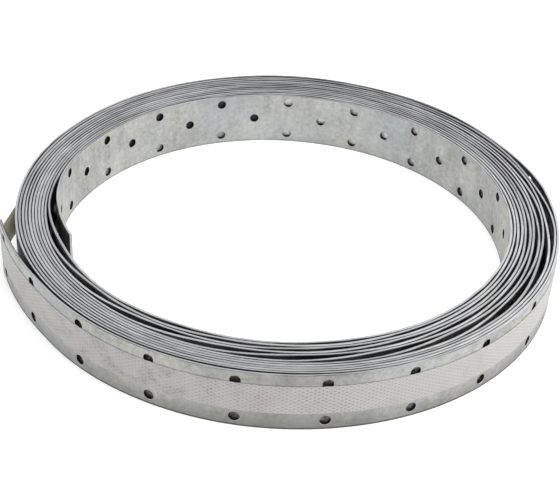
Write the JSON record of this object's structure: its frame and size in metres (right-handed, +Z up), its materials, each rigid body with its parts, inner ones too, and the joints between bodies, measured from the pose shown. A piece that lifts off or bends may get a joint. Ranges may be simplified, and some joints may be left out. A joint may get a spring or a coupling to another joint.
{
  "type": "coil of perforated metal strap",
  "caption": "Galvanised perforated steel fixing strap, wound into a loose coil that lies on its side edge and is held shut by a band of filament tape.",
  "frame": {"origin": "middle of the coil's footprint, on the floor that its side edge lies on", "axes": "+Z up along the line the turns are wound about; -Y is the front; the strap's two free ends are on the -X side"},
  "size_m": [0.276, 0.2772, 0.03],
  "materials": {
    "zinc": "hot-dip galvanised, dull with a faint spangle, brighter slit edges",
    "filament_tape": "translucent whitish film with a diamond weave of glass threads, tan adhesive side"
  },
  "bodies": {
    "root": {"strap": "zinc", "binding_tape": "filament_tape"}
  },
  "joints": []
}
